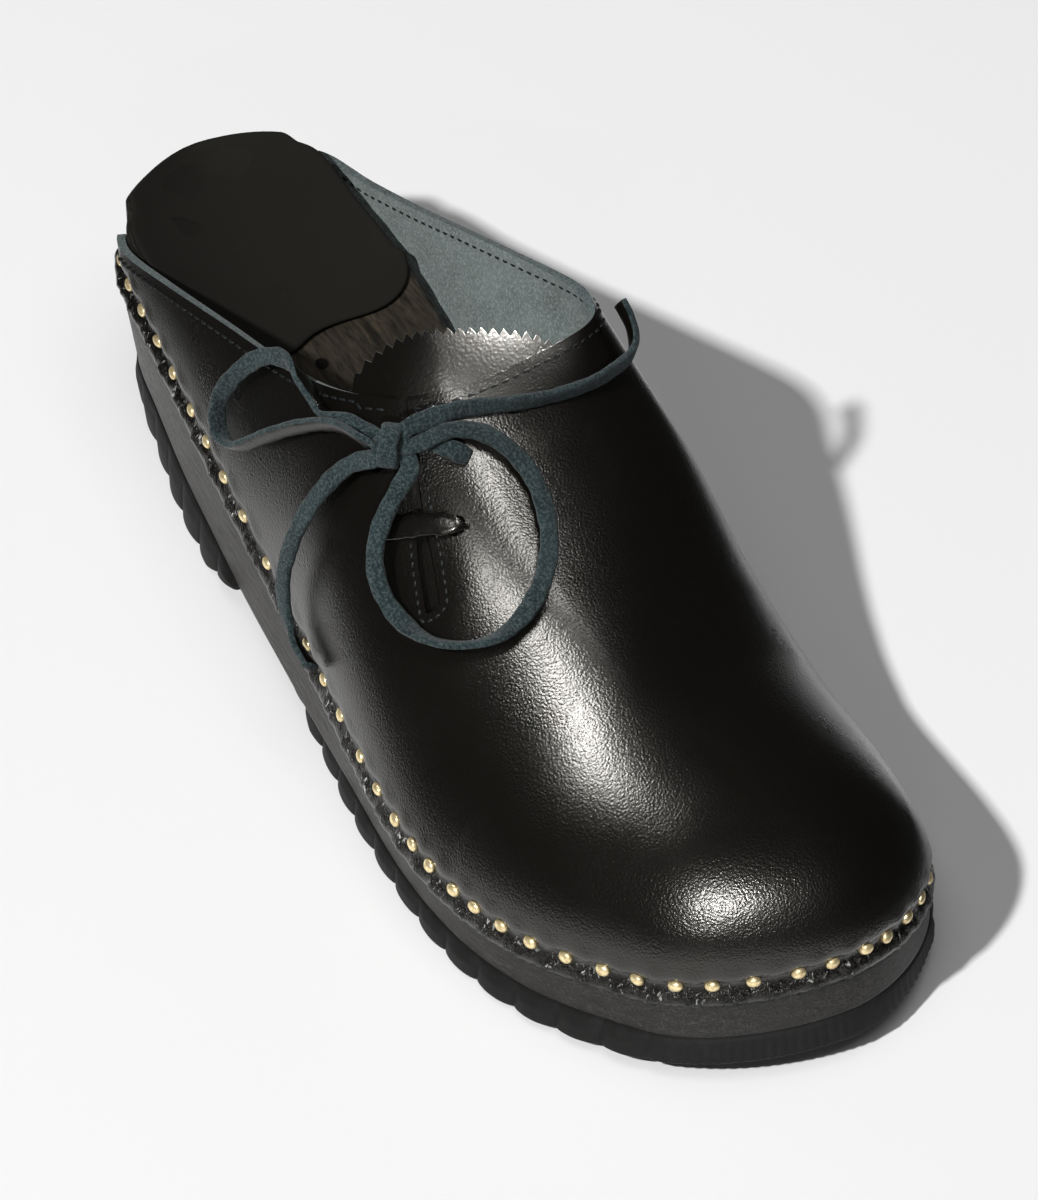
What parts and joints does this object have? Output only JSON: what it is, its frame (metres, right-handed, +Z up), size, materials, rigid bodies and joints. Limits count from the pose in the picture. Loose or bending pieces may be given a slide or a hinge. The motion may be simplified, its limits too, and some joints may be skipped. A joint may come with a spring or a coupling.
{
  "type": "lace-up clog",
  "caption": "Right lace-up clog: black leather upper nailed to a stained wooden sole with rubber treads, a tongue and a flat leather lace tied in a bow.",
  "frame": {"origin": "centre of the footprint on the floor", "axes": "+X towards the toe, +Y towards the wearer's left, which is the inner side of this right shoe, +Z up"},
  "size_m": [0.2743, 0.1049, 0.0914],
  "materials": {
    "leather": "smooth glossy black",
    "stained_wood": "black stain, grain showing",
    "rubber": "matt black",
    "sock_leather": "matt black",
    "lace": "grey-green flesh side, black grain side"
  },
  "bodies": {
    "root": {"outsole_heel": "rubber", "outsole_forefoot": "rubber", "wood_sole": "stained_wood", "heel_sock": "sock_leather", "upper": "leather", "tongue": "leather", "lace_bar": "lace", "lace_knot": "lace", "lace_loop_outer": "lace", "lace_loop_inner": "lace", "lace_end_outer": "lace", "lace_end_inner": "lace"}
  },
  "joints": []
}
